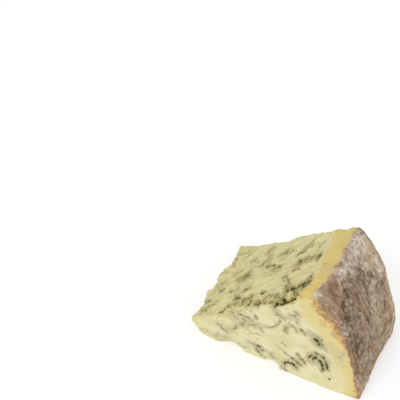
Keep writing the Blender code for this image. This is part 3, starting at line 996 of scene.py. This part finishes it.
def rindColour(tree, place, polarAt, fibre, mottle, hues):
    # mottled brown, grey and tan under fine fibres that run round the rind
    threads = grain(tree, stretched(tree, polarAt, slant, longFibre), "thread")
    cloud = grain(tree, place, "cloud")
    freckle = grain(tree, place, "freckle")
    rind = over(tree, between(tree, mottle, 0.38, 0.62), hues["crustBrown"], hues["crustGrey"])
    rind = over(tree, times(tree, between(tree, fibre, 0.56, 0.40), 0.45), rind, hues["crustDark"])
    rind = over(tree, times(tree, between(tree, freckle, 0.54, 0.68), 0.40), rind, hues["crustTan"])
    frost = reckon(tree, "MULTIPLY_ADD", fibre, 0.45, times(tree, cloud, 0.55))

    # each patch is worn by a texture, and shows at most by its last share
    patched = (
        ("ruddy", cloud, 3.4, 0.65),
        ("soot", freckle, -3.0, 0.85),
        ("straw", cloud, 3.0, 0.75),
        ("flush", cloud, 3.4, 0.75),
        ("bloom", frost, 5.6, 0.90),
        ("toast", freckle, 3.4, 0.80),
    )
    for name, texture, gain, most in patched:
        patch = worn(tree, field(tree, name), texture, gain, 1.0 - 0.5 * gain)
        rind = over(tree, times(tree, between(tree, patch, 0.12, 0.85), most), rind, hues[name])

    # fine cracks, dust and pale threads over it all
    cracked = grain(tree, stretched(tree, polarAt, slant, (1.8, 1.0, 1.0)), "crack")
    offCrack = reckon(tree, "ABSOLUTE", reckon(tree, "SUBTRACT", cracked, 0.5))
    crackShare = reckon(tree, "MULTIPLY_ADD", field(tree, "soot"), 0.35, 0.32)
    crackShare = times(tree, between(tree, offCrack, 0.030, 0.004), crackShare)
    rind = over(tree, crackShare, rind, hues["crustDark"])
    dusty = between(tree, grain(tree, place, "dust"), 0.62, 0.42)
    rind = over(tree, times(tree, dusty, 0.18), rind, hues["crustDark"])
    threadShare = reckon(tree, "MULTIPLY_ADD", field(tree, "bloom"), 0.20, 0.50)
    threadShare = times(tree, between(tree, threads, 0.54, 0.68), threadShare)
    return over(tree, threadShare, rind, hues["thread"])


# How the skin takes the light
finish = {
    "bump": 0.6,
    "bumpHeight": 0.35,
    "specular": 0.25,
    "glowThrough": 0.12,  # light that scatters under the skin
    "scatterDepth": 1.6,  # how far it goes, most of all its red
    "scatterColour": (1.0, 0.75, 0.35),
}


def cheeseMaterial():
    material = bpy.data.materials.new("blue_cheese")
    material.use_nodes = True
    tree = material.node_tree
    shader = tree.nodes["Principled BSDF"]
    hues = {name: paint(*value) for name, value in cheese.items()}
    place = tree.nodes.new("ShaderNodeTexCoord").outputs["Object"]
    polarAt = field(tree, "polarPlace")
    tornShare = field(tree, "torn")
    crustShare = field(tree, "crust")

    fine = grain(tree, place, "fine")
    dragTurn = (math.pi / 2 - sector["dragAngle"], 0.0, 0.0)
    streak = grain(tree, stretched(tree, polarAt, dragTurn, (1.0, 5.0, 1.0)), "streak")
    fibre = grain(tree, stretched(tree, polarAt, slant, longFibre), "fibre")
    mottle = grain(tree, stretched(tree, polarAt, (0.0, 0.0, 0.0), (1.5, 1.0, 1.0)), "mottle")

    paste = pasteColour(tree, place, streak, tornShare, hues)
    paste = mouldOver(tree, paste, fine, tornShare, hues)
    rind = rindColour(tree, place, polarAt, fibre, mottle, hues)
    wire(tree, over(tree, crustShare, paste, rind), shader.inputs["Base Color"])

    dull = reckon(tree, "MULTIPLY_ADD", fine, 0.22, 0.48)
    wire(tree, reckon(tree, "MULTIPLY_ADD", crustShare, 0.26, dull), shader.inputs["Roughness"])

    pasteBump = worn(tree, fine, tornShare, 0.8, 0.2)
    pasteBump = reckon(tree, "ADD", pasteBump, times(tree, streak, tornShare))
    rindBump = reckon(tree, "MULTIPLY_ADD", fibre, 0.5, mottle)
    bump = tree.nodes.new("ShaderNodeBump")
    bump.inputs["Strength"].default_value = finish["bump"]
    bump.inputs["Distance"].default_value = finish["bumpHeight"] * mm
    wire(tree, mixed(tree, crustShare, pasteBump, rindBump, "FLOAT", (2, 3, 0)), bump.inputs["Height"])
    wire(tree, bump.outputs["Normal"], shader.inputs["Normal"])

    shader.inputs["Specular IOR Level"].default_value = finish["specular"]
    shader.inputs["Subsurface Weight"].default_value = finish["glowThrough"]
    shader.inputs["Subsurface Radius"].default_value = finish["scatterColour"]
    shader.inputs["Subsurface Scale"].default_value = finish["scatterDepth"] * mm
    return material


def dress(piece):
    piece.data.materials.clear()
    piece.data.materials.append(blueCheese)
    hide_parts("cheese_wedge")
    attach(piece, "root")


blueCheese = cheeseMaterial()
dress(wedge)
print("wedge dressed")


# Loose crumbs, pressed into the torn cut, mostly along its front border and round the tip

crumbs = {
    "seed": 61,
    "count": 150,
    "least": 0.35,
    "most": 0.90,
    "standOff": 0.05,  # how far a crumb's middle stands off the skin, as a share of its size
    "lumps": 0.28,
    "sides": ((0.8, 1.3), (0.7, 1.1), (0.6, 1.0)),
    "mould": 0.6,  # how much of the mould's colour they keep
    "fallen": 1.25,  # one more lies by the front face, at its foot
    "fallenOut": 61.8,
    "fallenFront": 0.5,
}


def crumbSpots(rng):
    # points of the skin, most likely along the crumbly border
    rim = (1.0 - ease(radius, 20.0, 30.0)) * ease(height, 3.0, 6.0) + 0.5 * torn * ease(along, 49.0, 53.0)
    likely = np.clip(brokenBorder(1.0, 9.0) + 0.35 * rim + 0.05 * torn, 0.0, 1.5) * offCrust
    return rng.choices(range(len(coords)), likely.tolist(), k=crumbs["count"])


def addCrumb(bm, rng, size, centre):
    twist = Euler([rng.uniform(0.0, math.pi) for _ in range(3)]).to_matrix().to_4x4()
    spread = Matrix.Diagonal((*[rng.uniform(*side) for side in crumbs["sides"]], 1.0))
    made = bmesh.ops.create_icosphere(bm, subdivisions=2, radius=size)["verts"]
    for vert in made:
        vert.co *= 1.0 + crumbs["lumps"] * noise.noise(vert.co * 1.4 / size + centre)
    bmesh.ops.transform(bm, verts=made, matrix=Matrix.Translation(centre) @ twist @ spread)
    sunken = max(0.0, -min(vert.co.z for vert in made))
    bmesh.ops.translate(bm, verts=made, vec=(0.0, 0.0, sunken))
    return len(made)


def looseCrumbs():
    rng = random.Random(crumbs["seed"])
    fallen = Vector((sector["axisX"] + crumbs["fallenOut"], sector["frontY"] - crumbs["fallenFront"], 0.0))
    nearest = int(np.argmin(np.linalg.norm(coords - np.array(fallen), axis=1)))
    spots = [*crumbSpots(rng), nearest]
    bm = bmesh.new()
    owners = []
    for number, spot in enumerate(spots):
        size = crumbs["least"] + (crumbs["most"] - crumbs["least"]) * rng.random() ** 2
        centre = Vector(coords[spot] + normals[spot] * crumbs["standOff"] * size)
        if number == crumbs["count"]:
            size, centre = crumbs["fallen"], fallen
        owners += [spot] * addCrumb(bm, rng, size, centre)
    bmesh.ops.scale(bm, verts=bm.verts, vec=(mm, mm, mm))
    mesh = bpy.data.meshes.new("loose_crumbs")
    bm.to_mesh(mesh)
    bm.free()
    mesh.shade_smooth()
    for name, values in fields.items():
        share = crumbs["mould"] if name in ("vein", "veil") else 1.0
        addField(mesh, name, share * values[owners])
    piece = bpy.data.objects.new("loose_crumbs", mesh)
    bpy.context.scene.collection.objects.link(piece)
    dress(piece)


looseCrumbs()
print("crumbs strewn")


# Floor, light and camera

# The floor is partly lit from within, so that only a faint shadow shows
floor = {"side": 4.0, "colour": (0.60, 0.60, 0.60, 1.0), "roughness": 0.9, "glow": 0.43}


def makeFloor():
    bm = bmesh.new()
    bmesh.ops.create_grid(bm, x_segments=1, y_segments=1, size=floor["side"] / 2)
    mesh = bpy.data.meshes.new("pale_floor")
    bm.to_mesh(mesh)
    bm.free()
    material = bpy.data.materials.new("pale_floor")
    material.use_nodes = True
    shader = material.node_tree.nodes["Principled BSDF"]
    shader.inputs["Base Color"].default_value = floor["colour"]
    shader.inputs["Roughness"].default_value = floor["roughness"]
    shader.inputs["Emission Color"].default_value = (1.0, 1.0, 1.0, 1.0)
    shader.inputs["Emission Strength"].default_value = floor["glow"]
    mesh.materials.append(material)
    piece = bpy.data.objects.new("pale_floor", mesh)
    bpy.context.scene.collection.objects.link(piece)


skyStrength = 0.79
lamps = {
    "key": {"at": (-0.35, -1.30, 1.45), "side": 0.9, "power": 9.0},
    "fill": {"at": (1.30, -0.50, 0.90), "side": 0.9, "power": 4.0},
}


def makeLamps():
    for name, lamp in lamps.items():
        light = bpy.data.lights.new(name, "AREA")
        light.shape = "SQUARE"
        light.size = lamp["side"]
        light.energy = lamp["power"]
        holder = bpy.data.objects.new(name, light)
        holder.location = lamp["at"]
        holder.rotation_euler = (-Vector(lamp["at"])).to_track_quat("-Z", "Y").to_euler()
        bpy.context.scene.collection.objects.link(holder)
    world = bpy.data.worlds.new("soft_studio")
    world.use_nodes = True
    background = world.node_tree.nodes["Background"]
    background.inputs["Color"].default_value = (1.0, 1.0, 1.0, 1.0)
    background.inputs["Strength"].default_value = skyStrength
    bpy.context.scene.world = world
    bpy.context.scene.view_settings.view_transform = "Standard"


view = {
    "outX": 263.6,  # from the axis
    "along": -465.0,  # from the front wire cut
    "height": 639.3,
    "azimuth": 28.03,
    "elevation": 45.82,
    "lens": 147.77,
    "sensor": 36.0,
    "nearest": 10.0,
}


def makeCamera():
    camera = bpy.data.cameras.new("camera")
    camera.lens = view["lens"]
    camera.sensor_width = view["sensor"]
    camera.clip_start = view["nearest"] * mm
    holder = bpy.data.objects.new("camera", camera)
    place = Vector((view["outX"] + sector["axisX"], view["along"] + sector["frontY"], view["height"]))
    holder.location = place * mm
    tilt = math.radians(90.0 - view["elevation"])
    holder.rotation_euler = (tilt, 0.0, math.radians(view["azimuth"]))
    bpy.context.scene.collection.objects.link(holder)
    bpy.context.scene.camera = holder


makeFloor()
makeLamps()
makeCamera()
print("floor, lamps and camera set")
